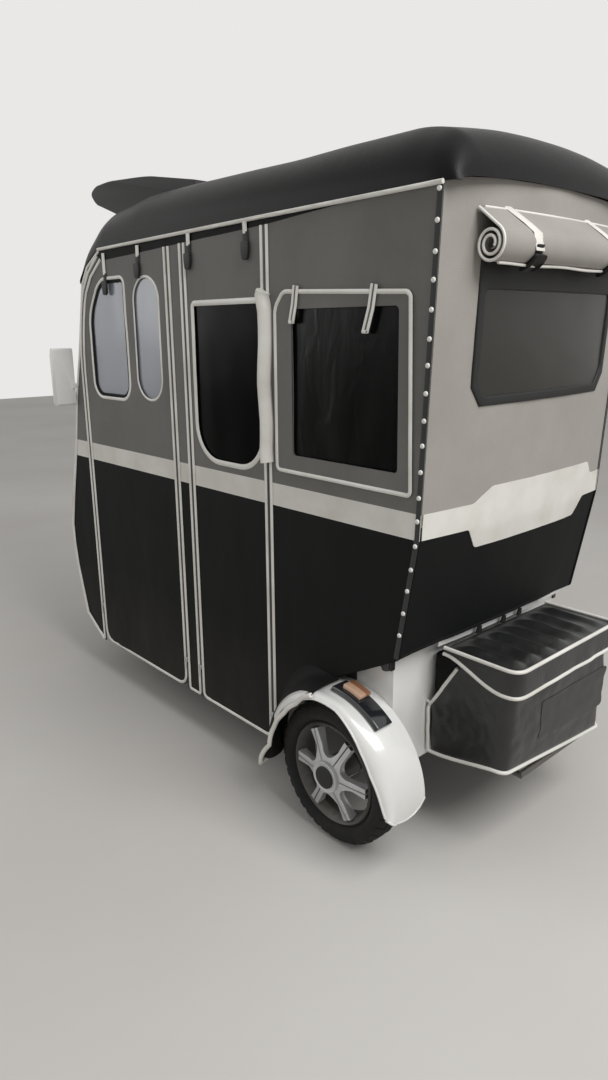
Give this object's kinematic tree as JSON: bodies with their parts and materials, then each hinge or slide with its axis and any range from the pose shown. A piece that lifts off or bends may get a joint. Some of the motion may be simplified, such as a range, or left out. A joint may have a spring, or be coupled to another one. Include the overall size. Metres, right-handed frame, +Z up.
{
  "type": "auto rickshaw",
  "caption": "Three-wheeled electric passenger rickshaw with a hollow zip-up fabric cabin, steered front wheel, turning wheels and a rear luggage bag whose lid opens.",
  "frame": {"origin": "on the ground under the middle of the vehicle's box, midway along its length and width", "axes": "+X forward, +Y to the vehicle's left, +Z up"},
  "size_m": [2.4172, 1.06, 1.9229],
  "materials": {
    "canvas_grey": "woven",
    "canvas_black": "woven",
    "roof_vinyl": "satin",
    "visor_plastic": "satin",
    "window_film": "gloss",
    "windscreen_clear": "gloss",
    "trim_black": "satin",
    "paint_white": "gloss",
    "frame_black": "satin",
    "axle_grey": "satin",
    "motor_alloy": "satin",
    "battery_case": "satin",
    "cast_alloy": "satin",
    "tyre_rubber": "matte",
    "seat_vinyl": "satin",
    "bag_vinyl": "satin",
    "chrome": "polished",
    "grip_rubber": "matte",
    "smoked_lens": "gloss",
    "amber_lens": "gloss",
    "clear_lens": "gloss",
    "floor_paint": "satin",
    "damper_steel": "satin"
  },
  "bodies": {
    "chassis": {"chassis_frame": "frame_black", "floor_pan": "floor_paint", "bench_base": "frame_black", "battery_box": "battery_case", "bench_cushion": "seat_vinyl", "bench_backrest": "seat_vinyl", "driver_seat_base": "frame_black", "driver_cushion": "seat_vinyl", "driver_backrest": "seat_vinyl", "rear_axle": "axle_grey", "drive_motor": "motor_alloy", "rear_dampers": "damper_steel", "rear_body_shell": "paint_white", "rear_fender_left": "paint_white", "rear_fender_right": "paint_white", "tail_lamps": "smoked_lens", "indicators": "amber_lens", "quarter_panel_left": "canvas_grey", "quarter_panel_right": "canvas_grey", "rear_door_left": "canvas_grey", "rear_door_right": "canvas_grey", "pillar_strips": "canvas_grey", "front_door_left": "canvas_grey", "front_door_right": "canvas_grey", "front_corner_left": "canvas_black", "front_corner_right": "canvas_black", "side_window_films": "window_film", "quarter_window_flaps": "canvas_grey", "rear_panel": "canvas_grey", "rear_window_frame": "trim_black", "rear_window_pane": "window_film", "rear_flap_roll": "canvas_grey", "roof_cover": "roof_vinyl", "roof_visor": "visor_plastic", "windscreen_surround": "canvas_black", "windscreen": "windscreen_clear", "front_apron": "paint_white", "headlamp_bezel": "trim_black", "headlamp_lens": "clear_lens", "inner_legshield": "trim_black", "mirrors": "chrome", "canopy_frame": "frame_black", "bag_body": "bag_vinyl", "bag_rack": "frame_black"},
    "steering": {"front_fork": "frame_black", "handlebar": "chrome", "hand_grips": "grip_rubber", "front_fender": "paint_white"},
    "front_wheel": {"front_rim": "cast_alloy", "front_tyre": "tyre_rubber"},
    "rear_wheel_left": {"rear_left_rim": "cast_alloy", "rear_left_tyre": "tyre_rubber"},
    "rear_wheel_right": {"rear_right_rim": "cast_alloy", "rear_right_tyre": "tyre_rubber"},
    "bag_lid": {"bag_lid": "bag_vinyl"}
  },
  "joints": [
    {"name": "steering_turn", "type": "hinge", "parent": "chassis", "child": "steering", "pos_m": [0.9985, 0, 0.205], "axis": [-0.4226, 0, 0.9063], "range_deg": [-40, 40]},
    {"name": "front_wheel_spin", "type": "hinge", "parent": "steering", "child": "front_wheel", "pos_m": [0.9985, 0, 0.205], "axis": [0, 1, 0], "continuous": true},
    {"name": "rear_left_spin", "type": "hinge", "parent": "chassis", "child": "rear_wheel_left", "pos_m": [-0.7915, 0.45, 0.205], "axis": [0, 1, 0], "continuous": true},
    {"name": "rear_right_spin", "type": "hinge", "parent": "chassis", "child": "rear_wheel_right", "pos_m": [-0.7915, -0.45, 0.205], "axis": [0, 1, 0], "continuous": true},
    {"name": "bag_lid_open", "type": "hinge", "parent": "chassis", "child": "bag_lid", "pos_m": [-0.9975, 0, 0.568], "axis": [0, 1, 0], "range_deg": [0, 65]}
  ]
}
